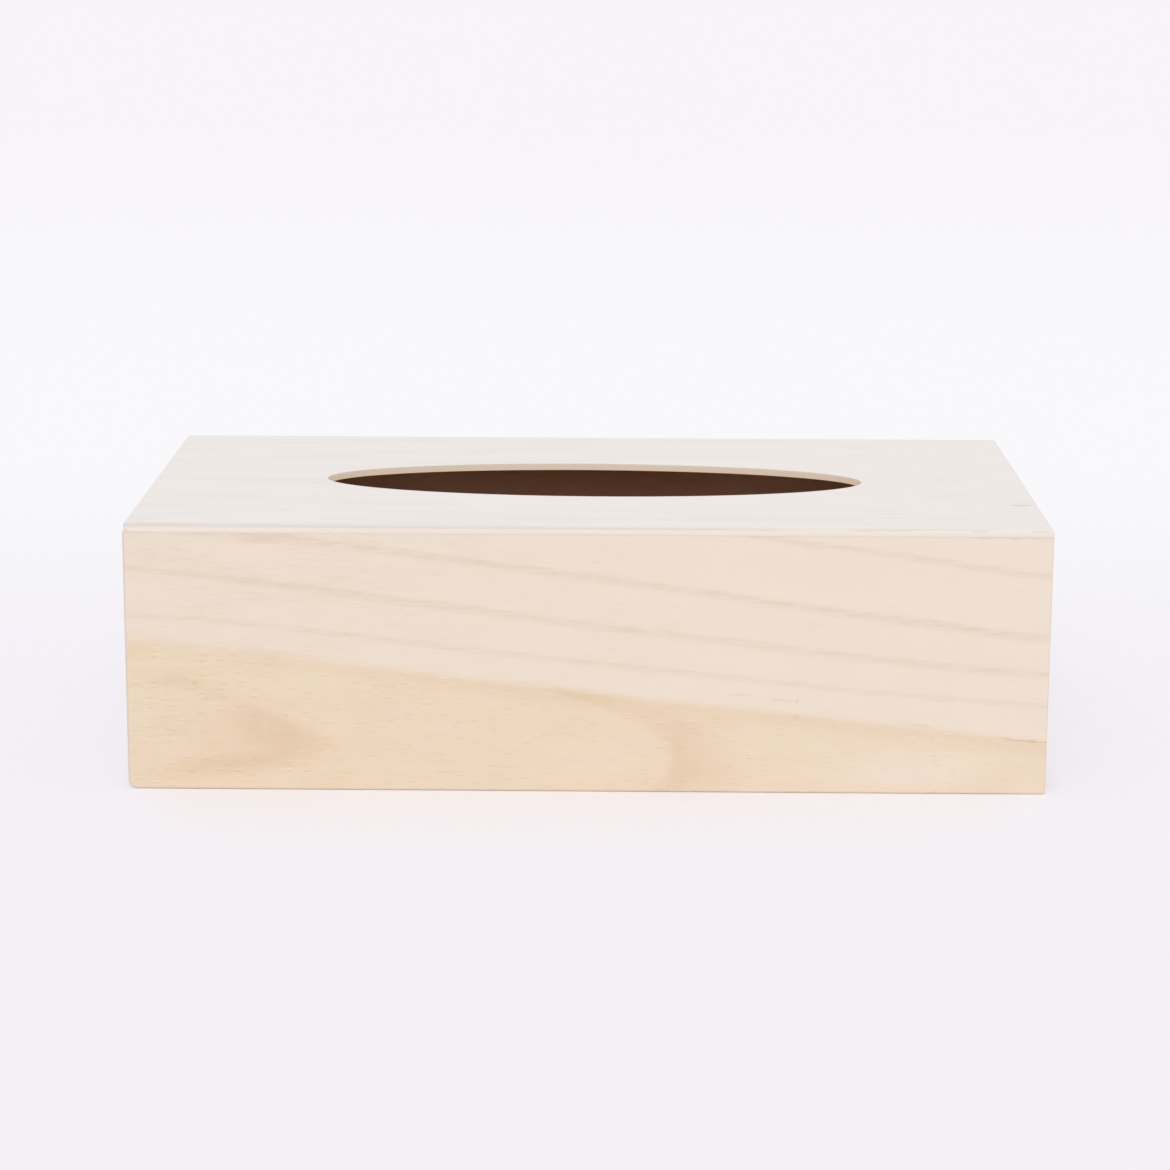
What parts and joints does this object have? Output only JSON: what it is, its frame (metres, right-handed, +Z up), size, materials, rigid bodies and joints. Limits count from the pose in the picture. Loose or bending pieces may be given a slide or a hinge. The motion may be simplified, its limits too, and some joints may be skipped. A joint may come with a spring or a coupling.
{
  "type": "tissue box cover",
  "caption": "Plain wooden tissue box cover with an oval opening on top and a grooved bottom board that slides out at one end.",
  "frame": {"origin": "on the table, under the middle of the box", "axes": "+Z up, +X to the right along the length, the front faces -Y; the bottom board slides out along +X"},
  "size_m": [0.26, 0.145, 0.0763],
  "materials": {
    "top_plywood": "bare plywood, sanded fine, pale, faint straight grain",
    "front_wood": "bare sanded wood, pale sapwood above, tan heartwood below",
    "back_wood": "bare sanded wood",
    "end_wood": "bare sanded wood",
    "bottom_plywood": "bare plywood"
  },
  "bodies": {
    "cover": {"top_panel": "top_plywood", "front_wall": "front_wood", "back_wall": "back_wood", "left_end_wall": "end_wood", "right_end_wall": "end_wood"},
    "bottom": {"bottom_board": "bottom_plywood"}
  },
  "joints": [
    {"name": "bottom_slide", "type": "slide", "parent": "cover", "child": "bottom", "axis": [1, 0, 0], "range_m": [0, 0.25]}
  ]
}
